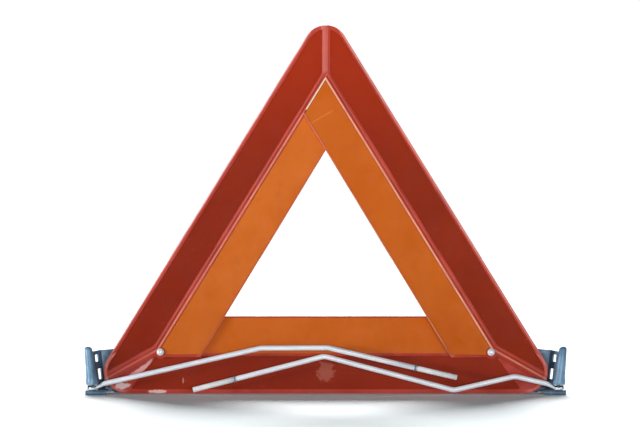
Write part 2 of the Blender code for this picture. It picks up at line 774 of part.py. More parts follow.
def strip_outline(side):
    """Plan of the bracket's bent strip: rear tab, bend, and flange forward to the post."""
    middle = (TAB_FRONT + TAB_BACK) / 2
    run_x = FLANGE_FRONT[0] - FLANGE_REAR_X
    run_y = FLANGE_FRONT[1] - middle
    length = math.hypot(run_x, run_y)
    nx = -run_y / length * SHEET / 2
    ny = run_x / length * SHEET / 2
    bend = SHEET / 2 * math.tan(math.atan2(-run_y, run_x) / 2)
    outer = [
        (TAB_END_X, TAB_BACK),
        (FLANGE_REAR_X + bend, TAB_BACK, STRIP_BENDS[0]),
        (FLANGE_FRONT[0] + nx, FLANGE_FRONT[1] + ny),
        (FLANGE_FRONT[0] - nx, FLANGE_FRONT[1] - ny),
        (FLANGE_REAR_X - bend, TAB_FRONT, STRIP_BENDS[1]),
        (TAB_END_X, TAB_FRONT),
    ]
    return [(side * x, y) for x, y in rounded(outer, steps=3)]


def end_bracket(side, label):
    """A tab on the rear wall, a windowed flange, a leaning post, and a tongue with its stop."""
    strip = level_plate(f"end_bracket_{label}", strip_outline(side), FLANGE_BOTTOM, FLANGE_TOP, STEEL)
    bracket = leaned(strip, side)
    crown = dome(POST_TOP_RADIUS, POST_DOME, POST_TOP - POST_DOME)
    post = turned(f"post_{label}", [*crown, *POST_TAPER, (0.0, LEAN_Z)], standing(side))
    near, far = sorted((side * TONGUE_IN_X, side * (TONGUE_OUT_X + TRIM)))
    slot_top = (far, PIN_Y + SLOT_BACK, SLOT_TOP)
    slot = box(f"cut_slot_{label}", (near, -HALF_DEPTH - PAST, 0.0), slot_top)
    upper = window(f"cut_upper_window_{label}", side, *UPPER_WINDOW)
    lower = window(f"cut_lower_window_{label}", side, *LOWER_WINDOW)
    height = (TONGUE_TOP - SHEET - PAST, PIN_TOP + PIN_ROOM)
    pin_hole = standing_cutter(f"cut_pin_{label}", side * PIN_X, PIN_Y, EYE_HOLE_RADIUS, *height)
    boolean(bracket, "DIFFERENCE", slot)
    near, far = sorted((side * STOP_X[0], side * STOP_X[1]))
    stop_foot = TONGUE_TOP - SHEET / 2
    stop = box(f"stop_{label}", (near, STOP_Y[0], stop_foot), (far, STOP_Y[1], STOP_TOP))
    boolean(bracket, "UNION", leaned(post, side), tongue(side, label), stop)
    boolean(bracket, "DIFFERENCE", upper, lower, pin_hole)
    radius = BRACKET_RIVET_RADIUS + GAP
    through = (TAB_FRONT - PAST, TAB_BACK + PAST)
    for which, z in BRACKET_RIVET_Z.items():
        name = f"cut_tab_{which}_{label}"
        hole = pin_cutter(name, side * BRACKET_RIVET_X, z, radius, *through)
        boolean(bracket, "DIFFERENCE", hole)


def tongue(side, label):
    """A level sheet under the post, with its front edge turned down to the ground."""
    under = TONGUE_TOP - SHEET
    lip_back = SHEET - HALF_DEPTH
    fold = [
        (TONGUE_BACK, TONGUE_TOP),
        (-HALF_DEPTH, TONGUE_TOP, TONGUE_BENDS[0]),
        (-HALF_DEPTH, 0.0),
        (lip_back, 0.0),
        (lip_back, under, TONGUE_BENDS[1]),
        (TONGUE_BACK, under),
    ]
    reach = sorted((side * TONGUE_IN_X, side * TONGUE_OUT_X))
    return bent_sheet(f"tongue_{label}", rounded(fold, steps=3), *reach)


def window(name, side, y_range, z_range):
    """Cutter for a window through the flange, whose normal is close to the X axis."""
    near, far = sorted((side * (FLANGE_REAR_X - TRIM), side * (FLANGE_FRONT[0] + TRIM)))
    return box(name, (near, y_range[0], z_range[0]), (far, y_range[1], z_range[1]))


def standing(side):
    """The place of an upright turned piece on the leg's axis."""
    return Matrix.Translation((side * PIN_X * MM, PIN_Y * MM, 0.0))


def base_fixings(side, label):
    """The rivets of a bracket's tab, and the pin that the leg turns on."""
    crown = dome(*BRACKET_RIVET_HEAD, GAP - TAB_FRONT, 3)
    head = [(radius, -height) for radius, height in crown]
    tail = [
        (BRACKET_RIVET_RADIUS, TAB_FRONT - GAP),
        (BRACKET_RIVET_RADIUS, WALL_BACK + GAP),
        (BRACKET_RIVET_TAIL[0], WALL_BACK + GAP),
        (BRACKET_RIVET_TAIL[1], HALF_DEPTH),
        (0.0, HALF_DEPTH),
    ]
    for which, z in BRACKET_RIVET_Z.items():
        place = facing_front(side * BRACKET_RIVET_X, z)
        turned(f"bracket_rivet_{label}_{which}", fore_aft(head + tail), place, RIVET, steps=16)
    head_top = TONGUE_TOP - SHEET - GAP
    head_bottom = head_top - PIN_HEAD_HEIGHT
    pin = [
        (0.0, PIN_TOP),
        (PIN_RADIUS, PIN_TOP),
        (PIN_RADIUS, head_top),
        (PIN_HEAD_RADIUS, head_top),
        (PIN_HEAD_RADIUS - PIN_HEAD_CHAMFER, head_bottom),
        (0.0, head_bottom),
    ]
    turned(f"leg_pivot_{label}", pin, standing(side), RIVET)


# ---------------------------------------------------------------- legs


def wire_object(path, radii):
    curve = bpy.data.curves.new("wire", "CURVE")
    curve.dimensions = "3D"
    curve.bevel_depth = WIRE_RADIUS * MM
    curve.bevel_resolution = 4
    curve.use_fill_caps = True
    spline = curve.splines.new("POLY")
    spline.points.add(len(path) - 1)
    for point, (x, z), radius in zip(spline.points, path, radii):
        point.co = (x * MM, PIN_Y * MM, z * MM, 1.0)
        point.radius = radius / WIRE_RADIUS
    return bpy.data.objects.new("guide", curve)


def along(start, end, distance):
    length = math.dist(start, end)
    return tuple(a + (b - a) * distance / length for a, b in zip(start, end))


def facing_along(start, end):
    """Places a turned piece at start, with its top towards end, in the legs' plane."""
    tilt = math.atan2(end[0] - start[0], end[1] - start[1])
    spot = Matrix.Translation((start[0] * MM, PIN_Y * MM, start[1] * MM))
    return spot @ Matrix.Rotation(tilt, 4, "Y")


def wire_radii(side, path):
    """The wire's radius at each point: hammered thin at the eye, and thinner in the sleeve."""
    radii = []
    for x, _ in path[:-2]:
        grown = min(1.0, max(0.0, (PIN_X - NECK - side * x) / TAPER_LENGTH))
        radii.append(THIN_RADIUS + (WIRE_RADIUS - THIN_RADIUS) * grown)
    return radii + [SPIGOT_RADIUS, SPIGOT_RADIUS]


def leg(side, label, bends, tip):
    """A wire from its eye through each (x, z, bend radius) to a sleeved tip."""
    eye_z = sum(EYE_Z) / 2
    root = (side * (PIN_X - EYE_RADIUS + EYE_ROOT), eye_z)
    neck = (side * (PIN_X - NECK), eye_z, NECK_RADIUS)
    course = rounded([root, neck, *bends, tip], closed=False)
    last_bend = course[-2]
    mouth = along(tip, last_bend, SLEEVE_LENGTH)
    inside = along(tip, last_bend, SLEEVE_LENGTH - SPIGOT_STEP)
    end = along(tip, last_bend, SPIGOT_END)
    path = [*course[:-1], mouth, inside, end]
    wire = baked(wire_object(path, wire_radii(side, path)), f"leg_{label}", WIRE)
    eye = standing_cutter(f"eye_{label}", side * PIN_X, PIN_Y, EYE_RADIUS, *EYE_Z)
    through = (EYE_Z[0] - PAST, EYE_Z[1] + PAST)
    hole = standing_cutter(f"cut_eye_{label}", side * PIN_X, PIN_Y, EYE_HOLE_RADIUS, *through)
    boolean(wire, "UNION", eye)
    boolean(wire, "DIFFERENCE", hole)
    place = facing_along(tip, last_bend)
    ring_profile = tube_profile(RING_RADII, RING_START + RING_WIDTH, RING_START)
    ring = turned(f"leg_ring_{label}", ring_profile, place, STEEL, closed=True, steps=16)
    hang(axis(f"{label}_leg_axis", side * PIN_X, PIN_Y, eye_z), wire, sleeve(label, place), ring)


def sleeve(label, place):
    """A closed-ended sleeve over the thinned end of a leg, with a chamfered tip."""
    outside = [
        (0.0, SLEEVE_MOUTH),
        (SLEEVE_RADIUS, SLEEVE_MOUTH),
        (SLEEVE_RADIUS, SLEEVE_CHAMFER),
        (SLEEVE_RADIUS - SLEEVE_CHAMFER, 0.0),
        (0.0, 0.0),
    ]
    inside = [
        (0.0, SLEEVE_LENGTH + PAST),
        (SLEEVE_BORE_RADIUS, SLEEVE_LENGTH + PAST),
        (SLEEVE_BORE_RADIUS, SLEEVE_FLOOR),
        (0.0, SLEEVE_FLOOR),
    ]
    tube = turned(f"leg_sleeve_{label}", outside, place, PALE, steps=16)
    boolean(tube, "DIFFERENCE", turned(f"cut_sleeve_{label}", inside, place, steps=16))
    return tube


def main():
    triangle()
    base_rail()
    for side, label in ((-1, "left"), (1, "right")):
        end_bracket(side, label)
        base_fixings(side, label)
    leg(-1, "left", LEFT_BENDS, LEFT_TIP)
    leg(1, "right", RIGHT_BENDS, RIGHT_TIP)


main()
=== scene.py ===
"""Looks of the folding warning triangle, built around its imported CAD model.

Everything is in metres in the CAD frame: the base runs along X, the front faces -Y and
the ground is Z = 0. Surfaces read object coordinates, so they stay put when a part moves.
"""

import json
import math

import bpy
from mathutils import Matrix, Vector

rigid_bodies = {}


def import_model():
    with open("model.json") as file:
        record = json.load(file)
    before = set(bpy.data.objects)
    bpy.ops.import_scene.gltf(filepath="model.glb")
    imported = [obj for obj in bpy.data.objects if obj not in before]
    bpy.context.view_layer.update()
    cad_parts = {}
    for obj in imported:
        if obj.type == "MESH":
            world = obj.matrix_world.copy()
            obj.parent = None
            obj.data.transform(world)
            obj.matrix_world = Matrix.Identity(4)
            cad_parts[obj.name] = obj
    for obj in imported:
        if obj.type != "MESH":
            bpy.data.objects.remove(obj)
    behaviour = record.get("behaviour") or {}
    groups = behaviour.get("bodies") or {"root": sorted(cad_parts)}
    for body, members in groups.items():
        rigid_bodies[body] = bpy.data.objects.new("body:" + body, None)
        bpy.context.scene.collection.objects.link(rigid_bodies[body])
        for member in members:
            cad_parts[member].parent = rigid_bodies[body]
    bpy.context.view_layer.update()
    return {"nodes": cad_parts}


MM = 0.001

# Camera, level and looking along +Y
CAMERA_PLACE = (-0.0059, -3.0, 0.189)
CAMERA_LENS = 160.7
SENSOR_WIDTH = 36.0

# Studio
WORLD_COLOUR = (0.9, 1.1, 1.2, 1.0)
WORLD_STRENGTH = 0.14
FLOOR_RADIUS = 9.0
FLOOR_COLOUR = (0.93, 0.99, 1.0, 1.0)
FLOOR_ROUGHNESS = 0.9
BACKDROP_RADIUS = 10.0
BACKDROP_GLOW = 1.05
BLACK = (0.0, 0.0, 0.0, 1.0)
WHITE = (1.0, 1.0, 1.0, 1.0)
REAR_PLACE = (-0.05, 2.0, 0.85)
REAR_SPREAD = 31.0
REAR_STRENGTH = 2.0
REAR_STRENGTH_ON_FLOOR = 5.75
REAR_TARGET = (0.0, 0.0, 0.0)
SOFTBOX_TARGET = (0.0, 0.0, 0.15)

# Each softbox has a name, a place, a width, a height and a power
SOFTBOXES = (
    ("key_light", (-3.0, -1.4, 0.2), 1.4, 0.35, 56.0),
    ("front_fill", (0.5, -4.2, 0.2), 2.4, 0.35, 64.0),
)

# Rounded edges: widths, and in degrees how sharp a corner has to be to get one
CARRIER_ROUNDING = 0.5 * MM
SHEET_ROUNDING = 0.15 * MM
STEEL_ROUNDING = 0.25 * MM
SMALL_ROUNDING = 0.1 * MM
ROUNDING_SEGMENTS = 2
WELD_DISTANCE = 0.001 * MM
SHARP_IN_FLAT = 30.0
SHARP_IN_BRACKET = 40.0
SHARP_IN_TURNED = 50.0
SHARP_IN_WIRE = 60.0

# The triangle's sharp peak and bottom right corner, and how far its sides lean from upright
PEAK_Z = 0.4075
CORNER = (0.25105, 0.0003)
CORNER_RADIUS = 0.023
EDGE_TILT = math.atan2(CORNER[0], PEAK_Z - CORNER[1])

# Below its pivot, a side arm's lines bend to run along the corner's bisector
BISECTOR = (math.pi / 2 - EDGE_TILT) / 2
PIVOT_INSET = 0.0434

# Sides of the triangle, and how strong the painted highlight on the rim is on each
LEFT = -1
RIGHT = 1
RIM_HIGHLIGHT_STRENGTH = {LEFT: 0.8, RIGHT: 0.4}

# Painted highlight lines and a painted groove shade along a side arm, as distances inside its slanted
# edge, and where they get fainter
RIM_LINE = (-0.0010, 0.0016)
STEP_LINE = (0.0355, 0.0364)
GROOVE_LINE = (0.0370, 0.0379)
RIDGE_LINE = (0.0390, 0.0408)
LIP_LINE = (0.0780, 0.0830)
STEP_STRENGTH = 0.35
LINES_FADE_Z = (0.040, 0.054)

# The painted highlight on the rim round a bottom corner, as depths inside its round outside
CORNER_RIM = (0.0008, 0.0034)
CORNER_RIM_BLUR = 0.0008
CORNER_RIM_FADE = 0.004

# Painted highlights: the pale strip at the top, and the edge of the right arm's tail inside the left
# slanted edge
TIP_STRIP_X = (-0.0050, 0.0022)
TIP_STRIP_FADE_Z = (0.334, 0.340)
TAIL_EDGE = (0.0395, 0.0408)
TAIL_EDGE_Z = (0.298, 0.3305)

# The painted highlight band on the bottom arm runs beside the left arm's lower edge
MITRE_FOOT = (-0.2175, 0.0085)
MITRE_SLOPE = math.radians(36.0)
BAND_HALF_WIDTH = (0.0042, 0.0062)
BAND_RAGGEDNESS = 0.006

# How far out a spot ends, in reaches and with its ragged noise added
SPOT_BORDER = (1.5, 1.9)
SPOT_RAGGEDNESS = 1.6

# Pitches of the prism sheets, and the height over which a painted light from above makes the
# reflectors lighter
REFLECTOR_PITCH = 0.0021
PANEL_PITCH = 0.0014
REFLECTOR_TOP_LIGHT_Z = (0.22, 0.36)

# Painted shade low on the blue-grey steel, and a stripe of painted shade at the height of the leg slot
FOOT_SHADE_Z = (0.003, 0.012)
SLOT_SHADE_Z = (0.0052, 0.0100)
SLOT_SHADE_BLUR = 0.0008

# Directions and stretches of noise, as (x, y, z)
ALONG_X = (1.0, 0.0, 0.0)
ALONG_Z = (0.0, 0.0, 1.0)
EVEN = (1.0, 1.0, 1.0)

# Most values of the cloudy noise lie between these
NOISE_RANGE = (0.3, 0.7)

# The Y part of a surface's direction, from where it looks forward to where it doesn't,
# and its size, from where the surface looks sideways to where it is flat
FORWARD = (-0.5, -0.2)
SIDEWAYS = (0.55, 0.97)

# Socket numbers of a Mix node that mixes colours
MIX_SHARE = 0
MIX_FIRST = 6
MIX_SECOND = 7
MIX_RESULT = 2

# ---------------------------------------------------------------- colours


def linear(red, green, blue):
    """Turns a 0 to 255 screen colour into the linear colour that shaders take."""

    def channel(value):
        share = value / 255.0
        return share / 12.92 if share <= 0.04045 else ((share + 0.055) / 1.055) ** 2.4

    return (channel(red), channel(green), channel(blue), 1.0)


# Two tones that the clouds on a surface go between
CARRIER_TONES = {
    "left": (linear(172, 44, 28), linear(188, 56, 40)),
    "right": (linear(168, 38, 12), linear(184, 50, 22)),
    "bottom": (linear(172, 44, 24), linear(190, 56, 36)),
}
# The bottom reflector's tones are lighter, a painted light that makes up for less light low on the
# triangle
REFLECTOR_TONES = {
    "left": (linear(136, 34, 10), linear(144, 40, 14)),
    "right": (linear(138, 36, 8), linear(146, 42, 12)),
    "bottom": (linear(146, 40, 14), linear(156, 46, 20)),
}
PANEL_TONES = {
    "left": (linear(196, 94, 20), linear(204, 102, 30)),
    "right": (linear(190, 86, 8), linear(197, 94, 18)),
    "bottom": (linear(198, 92, 12), linear(205, 100, 26)),
}
STEEL_TONES = (linear(92, 124, 150), linear(120, 152, 178))
WIRE_TONES = (linear(228, 234, 244), linear(250, 251, 254))
SLEEVE_TONES = (linear(246, 247, 248), linear(226, 230, 234))
RIVET_TONES = (linear(246, 247, 249), linear(206, 210, 216))

# Carriers: a painted edge highlight, dirt, chips, and painted highlight and shade lines
CARRIER_EDGE_HIGHLIGHT = linear(252, 158, 138)
CARRIER_DIRT = linear(122, 52, 40)
CARRIER_CHIP = linear(246, 206, 190)
CORNER_HIGHLIGHT = linear(246, 150, 138)
RIM_HIGHLIGHT = linear(246, 188, 182)
STEP_HIGHLIGHT = linear(232, 140, 120)
GROOVE_PAINTED_SHADE = linear(118, 30, 18)
RIDGE_HIGHLIGHT = linear(255, 186, 152)
LIP_HIGHLIGHT = linear(240, 150, 112)
TIP_HIGHLIGHT = linear(214, 128, 118)
TAIL_HIGHLIGHT = linear(255, 232, 200)
BAND_HIGHLIGHT = linear(236, 172, 168)

# Reflectors, panels and steel, with a painted top light, a painted glow and painted shade low on the
# steel
REFLECTOR_TOP_LIGHT = linear(166, 44, 10)
CELL_SHADE = linear(84, 14, 8)
SCUFF_SHADE = linear(190, 92, 74)
SCRATCH_SHADE = linear(222, 150, 130)
RUB_SHADE = linear(226, 150, 130)
PANEL_SOIL = linear(176, 84, 30)
PANEL_PAINTED_GLOW = linear(226, 104, 16)
PANEL_STREAK = linear(232, 142, 84)
STEEL_RUB = linear(170, 190, 208)
STEEL_FOOT_SHADE = linear(20, 40, 56)
STEEL_SLOT_SHADE = linear(8, 24, 38)

# Painted highlight patches on the bottom arm: centre, reach, size of the border's noise, strength,
# shade
BOTTOM_HIGHLIGHTS = (
    ((-0.214, 0.008), (0.009, 0.0034), 0.004, 0.9, linear(244, 214, 212)),
    ((-0.176, 0.002), (0.009, 0.002), 0.004, 0.8, linear(246, 206, 196)),
    ((0.213, 0.027), (0.008, 0.003), 0.006, 0.8, linear(255, 220, 150)),
)

# ---------------------------------------------------------------- shader helper


class Surface:
    """A node material, with short calls for the nodes that the finishes share."""

    def __init__(self, name):
        self.material = bpy.data.materials.new(name)
        self.material.use_nodes = True
        self.tree = self.material.node_tree
        self.shader = self.tree.nodes["Principled BSDF"]
        self.place = self.node("ShaderNodeTexCoord").outputs["Object"]

    def node(self, kind, inputs=None, **settings):
        made = self.tree.nodes.new(kind)
        for key, value in settings.items():
            setattr(made, key, value)
        for key, value in (inputs or {}).items():
            self.feed(made.inputs[key], value)
        return made

    def feed(self, socket, value):
        """Links another node's output to a socket, or sets the socket to a plain value."""
        if isinstance(value, bpy.types.NodeSocket):
            self.tree.links.new(value, socket)
        else:
            socket.default_value = value

    def set(self, **inputs):
        """Feeds the shader's own sockets, with _ for the spaces in their names."""
        for key, value in inputs.items():
            self.feed(self.shader.inputs[key.replace("_", " ")], value)

    def math(self, operation, first, second=0.0):
        return self.node("ShaderNodeMath", {0: first, 1: second}, operation=operation).outputs[0]

    def times(self, first, second):
        return self.math("MULTIPLY", first, second)

    def noise(self, size, detail=3.0, stretch=EVEN):
        """Cloudy noise from 0 to 1, with patches about this many metres across."""
        scale = self.node("ShaderNodeMapping", {"Vector": self.place, "Scale": stretch})
        inputs = {"Vector": scale.outputs[0], "Scale": 1.0 / size, "Detail": detail}
        return self.node("ShaderNodeTexNoise", inputs).outputs[0]

    def between(self, value, low, high, start=0.0, end=1.0):
        """Goes from start to end, smoothly, as value goes from low to high."""
        made = self.node("ShaderNodeMapRange", interpolation_type="SMOOTHSTEP")
        for key, given in enumerate((value, low, high, start, end)):
            self.feed(made.inputs[key], given)
        return made.outputs[0]

    def patches(self, size, low, high, detail=3.0, stretch=EVEN):
        """Goes from 0 to 1 as noise of this size goes from low to high."""
        return self.between(self.noise(size, detail, stretch), low, high)

    def drift(self, size, start, end, detail=3.0):
        """Drifts between two values, in patches of this size."""
        return self.between(self.noise(size, detail), *NOISE_RANGE, start, end)

    def mix(self, share, first, second):
        made = self.node("ShaderNodeMix", data_type="RGBA")
        for key, value in ((MIX_SHARE, share), (MIX_FIRST, first), (MIX_SECOND, second)):
            self.feed(made.inputs[key], value)
        return made.outputs[MIX_RESULT]

    def tint(self, colour, shade, share, strength):
        """Lays a shade over a colour where share is 1, up to this strength."""
        return self.mix(self.times(share, strength), colour, shade)

    def mark(self, colour, shade, share, strength):
        """Tints only the faces that look forward, so that the back stays plain."""
        front = self.between(self.normal_y(), *FORWARD, 1.0, 0.0)
        return self.mix(self.times(self.times(share, strength), front), colour, shade)

    def normal_y(self):
        """The Y part of the surface's own direction: -1 looks forward and 1 looks back."""
        normal = self.node("ShaderNodeTexCoord").outputs["Normal"]
        return self.node("ShaderNodeSeparateXYZ", {0: normal}).outputs["Y"]

    def sideways(self):
        """1 on faces that look away from Y, such as rims and cut edges, and 0 on flat ones."""
        return self.between(self.math("ABSOLUTE", self.normal_y()), *SIDEWAYS, 1.0, 0.0)

    def along(self, direction):
        """How far along a direction a point lies: in metres, if the direction's length is 1."""
        inputs = {0: self.place, 1: direction}
        return self.node("ShaderNodeVectorMath", inputs, operation="DOT_PRODUCT").outputs["Value"]

    def bump(self, height, depth):
        """A bumpy surface direction, from a height of 0 to 1 and its depth in metres."""
        inputs = {"Height": height, "Distance": depth, "Strength": 1.0}
        return self.node("ShaderNodeBump", inputs).outputs[0]


# ---------------------------------------------------------------- shapes of marks


def stripe(s, distance, low, high, blur=0.0004):
    """1 where a distance lies between low and high, and 0 outside, with soft borders."""
    rise = s.between(distance, low - blur, low + blur)
    fall = s.between(distance, high - blur, high + blur, 1.0, 0.0)
    return s.times(rise, fall)


def far_from(s, centre, reach):
    """Distance from an (x, z) point, where a reach in x or z counts as 1."""
    point = (centre[0], 0.0, centre[1])
    squeeze = (1.0 / reach[0], 0.0, 1.0 / reach[1])
    offset = s.node("ShaderNodeVectorMath", {0: s.place, 1: point}, operation="SUBTRACT")
    inputs = {0: offset.outputs[0], 1: squeeze}
    scaled = s.node("ShaderNodeVectorMath", inputs, operation="MULTIPLY")
    return s.node("ShaderNodeVectorMath", {0: scaled.outputs[0]}, operation="LENGTH").outputs["Value"]


def spot(s, centre, reach, grain):
    """A patch round an (x, z) point, which fades out along a border made ragged by noise."""
    ragged = s.times(s.noise(grain, detail=4.0), SPOT_RAGGEDNESS)
    return s.between(s.math("ADD", far_from(s, centre, reach), ragged), *SPOT_BORDER, 1.0, 0.0)


def streak(s, start, end, half_width):
    """A thin line that fades at its borders, from one (x, z) point to another."""
    run = (end[0] - start[0], end[1] - start[1])
    length = math.hypot(*run)
    ahead = (run[0] / length, 0.0, run[1] / length)
    aside = (-run[1] / length, 0.0, run[0] / length)
    first = start[0] * ahead[0] + start[1] * ahead[2]
    middle = start[0] * aside[0] + start[1] * aside[2]
    long = stripe(s, s.along(ahead), first, first + length, blur=0.003)
    narrow = stripe(s, s.along(aside), middle - half_width, middle + half_width, blur=0.0005)
    return s.times(long, narrow)


def prisms(s, pitch):
    """Three crossing sets of fine grooves, which leave triangular cells."""
    cell = None
    for degrees in (0.0, 60.0, 120.0):
        turn = math.radians(degrees)
        wave = s.along((math.cos(turn) * math.pi / pitch, 0.0, math.sin(turn) * math.pi / pitch))
        groove = s.math("ABSOLUTE", s.math("SINE", wave))
        cell = groove if cell is None else s.math("MINIMUM", cell, groove)
    return cell


def inset_from(s, side):
    """Distance in metres inside the left or right slanted edge of the triangle."""
    lean = (-side * math.cos(EDGE_TILT), 0.0, -math.sin(EDGE_TILT))
    return s.math("ADD", s.along(lean), PEAK_Z * math.sin(EDGE_TILT))


def mitre_inset(s, side):
    """The same distance below the bend, where it is measured from the corner's bisector."""
    aside = (side * math.sin(BISECTOR), 0.0, math.cos(BISECTOR))
    start = CORNER[0] * math.sin(BISECTOR) + CORNER[1] * math.cos(BISECTOR)
    return s.math("SUBTRACT", PIVOT_INSET + start, s.along(aside))


# ---------------------------------------------------------------- painted highlights, painted shade and wear


def corner_rim(s, side, colour):
    """A painted highlight on the rim that follows the round outside of a bottom corner."""
    strength = RIM_HIGHLIGHT_STRENGTH[side]
    middle = CORNER[0] - CORNER_RADIUS / math.tan(BISECTOR)
    shallow, deep = CORNER_RIM
    far = far_from(s, (side * middle, CORNER[1] + CORNER_RADIUS), (1.0, 1.0))
    ring = stripe(s, far, CORNER_RADIUS - deep, CORNER_RADIUS - shallow, CORNER_RIM_BLUR)
    outward = s.along((side, 0.0, 0.0))
    outside = s.between(outward, middle - CORNER_RIM_FADE, middle + CORNER_RIM_FADE)
    uneven = s.drift(size=0.006, start=0.5 * strength, end=strength, detail=4.0)
    # Painted highlight, stronger on the left corner than on the right
    return s.mark(colour, CORNER_HIGHLIGHT, s.times(ring, outside), uneven)


def side_marks(side, shift, ridge_highlight, groove, lip_highlight):
    """Painted highlight lines along a side arm on its rim, a step, its inner ridge and its inner edge,
    and a painted shade line in a groove.
    """

    def paint(s, colour):
        inset = s.math("SUBTRACT", inset_from(s, side), shift)
        bent = s.math("MAXIMUM", inset, mitre_inset(s, side))
        uneven = s.drift(size=0.02, start=0.55, end=1.0, detail=4.0)
        # Painted highlights on the rim, step, ridge and inner edge, and painted shade in the groove
        lines = (
            (inset, RIM_LINE, RIM_HIGHLIGHT_STRENGTH[side], RIM_HIGHLIGHT),
            (bent, STEP_LINE, STEP_STRENGTH, STEP_HIGHLIGHT),
            (bent, GROOVE_LINE, groove, GROOVE_PAINTED_SHADE),
            (bent, RIDGE_LINE, ridge_highlight, RIDGE_HIGHLIGHT),
            (inset, LIP_LINE, lip_highlight, LIP_HIGHLIGHT),
        )
        upper = s.between(s.along(ALONG_Z), *LINES_FADE_Z, start=0.5, end=1.0)
        uneven = s.times(uneven, upper)
        for distance, (low, high), strength, shade in lines:
            line_strength = s.times(uneven, strength)
            colour = s.mark(colour, shade, stripe(s, distance, low, high), line_strength)
        return paint_tip(s, corner_rim(s, side, colour))

    return paint


def paint_tip(s, colour):
    """Painted highlights: the pale upright strip at the top, and the bright cut edge of the right
    arm's tail.
    """
    upright = stripe(s, s.along(ALONG_X), *TIP_STRIP_X)
    high = s.between(s.along(ALONG_Z), *TIP_STRIP_FADE_Z)
    # Painted highlight on the upright strip and on the tail's cut edge
    colour = s.mark(colour, TIP_HIGHLIGHT, s.times(upright, high), strength=0.5)
    tail = stripe(s, inset_from(s, LEFT), *TAIL_EDGE)
    height = stripe(s, s.along(ALONG_Z), *TAIL_EDGE_Z, blur=0.001)
    return s.mark(colour, TAIL_HIGHLIGHT, tail, strength=s.times(height, 0.9))


def bottom_marks(s, colour):
    """Painted highlights: pale plastic on the bare left end of the bottom arm, and less on the right.
    """
    across = s.along((-math.sin(MITRE_SLOPE), 0.0, math.cos(MITRE_SLOPE)))
    middle = -MITRE_FOOT[0] * math.sin(MITRE_SLOPE) + MITRE_FOOT[1] * math.cos(MITRE_SLOPE)
    off = s.math("ABSOLUTE", s.math("SUBTRACT", across, middle))
    noise = s.noise(size=0.008, detail=5.0, stretch=(0.4, 1.0, 1.0))
    ragged = s.times(noise, BAND_RAGGEDNESS)
    highlight_band = s.between(s.math("ADD", off, ragged), *BAND_HALF_WIDTH, 1.0, 0.0)
    near = spot(s, centre=(-0.196, 0.026), reach=(0.021, 0.016), grain=0.012)
    # Painted highlight band and patches, pale where light falls on the bare ends
    colour = s.mark(colour, BAND_HIGHLIGHT, s.times(highlight_band, near), strength=0.85)
    for centre, reach, grain, strength, shade in BOTTOM_HIGHLIGHTS:
        colour = s.mark(colour, shade, spot(s, centre, reach, grain), strength)
    for side in (LEFT, RIGHT):
        colour = corner_rim(s, side, colour)
    return colour


def tail_streak(s, colour):
    """A faint pale streak across the tail of the right arm's panel."""
    mark = streak(s, start=(-0.0148, 0.2840), end=(0.0072, 0.2966), half_width=0.0004)
    return s.tint(colour, PANEL_STREAK, mark, strength=0.5)


def reflector_wear(s, colour):
    """A short scratch near the bottom reflector's left end, and a rubbed patch in its middle."""
    scratch = spot(s, centre=(-0.1497, 0.0135), reach=(0.0008, 0.0042), grain=0.004)
    colour = s.tint(colour, SCRATCH_SHADE, scratch, strength=0.7)
    rub = spot(s, centre=(0.0, 0.0235), reach=(0.0100, 0.0110), grain=0.003)
    return s.tint(colour, RUB_SHADE, rub, strength=0.25)


# ---------------------------------------------------------------- finishes


def carrier_finish(name, tones, marks):
    """Moulded red plastic: a painted highlight makes its edges lighter, with dirt and small pale chips
    there.
    """
    s = Surface(name)
    colour = s.mix(s.patches(size=0.045, low=0.35, high=0.65), *tones)
    edge = s.sideways()
    # Painted highlight: faces that look sideways, such as rims and cut edges, are lighter
    colour = s.tint(colour, CARRIER_EDGE_HIGHLIGHT, edge, strength=0.6)
    colour = marks(s, colour)
    dirt = s.times(s.patches(size=0.006, low=0.52, high=0.62, detail=5.0), edge)
    colour = s.tint(colour, CARRIER_DIRT, dirt, strength=0.4)
    chips = s.times(s.patches(size=0.0035, low=0.70, high=0.76, detail=2.0), edge)
    colour = s.mix(chips, colour, CARRIER_CHIP)
    s.set(Base_Color=colour, Roughness=s.drift(size=0.02, start=0.4, end=0.55))
    grain = s.noise(size=0.0016, detail=4.0)
    s.set(Specular_IOR_Level=0.2, Normal=s.bump(grain, depth=0.12 * MM))
    return s.material


def reflector_finish(name, tones, painted_top_light=False, marks=None):
    """Deep red prism sheet under a clear face, with faint scuffs, and on the side arms a painted light
    that makes the top lighter.
    """
    s = Surface(name)
    cell = s.between(prisms(s, REFLECTOR_PITCH), low=0.0, high=0.5)
    colour = s.mix(s.drift(size=0.06, start=0.0, end=1.0, detail=4.0), *tones)
    if painted_top_light:
        # Painted light from above: the reflector gets lighter towards the top
        colour = s.mix(s.between(s.along(ALONG_Z), *REFLECTOR_TOP_LIGHT_Z), colour, REFLECTOR_TOP_LIGHT)
    colour = s.tint(colour, CELL_SHADE, cell, strength=0.14)
    scuff = s.patches(size=0.012, low=0.66, high=0.78, detail=6.0, stretch=(1.0, 1.0, 3.0))
    colour = s.tint(colour, SCUFF_SHADE, scuff, strength=0.22)
    if marks is not None:
        colour = marks(s, colour)
    s.set(Base_Color=colour, Roughness=s.drift(size=0.015, start=0.3, end=0.44))
    s.set(Specular_IOR_Level=0.05, Normal=s.bump(cell, depth=0.05 * MM))
    return s.material


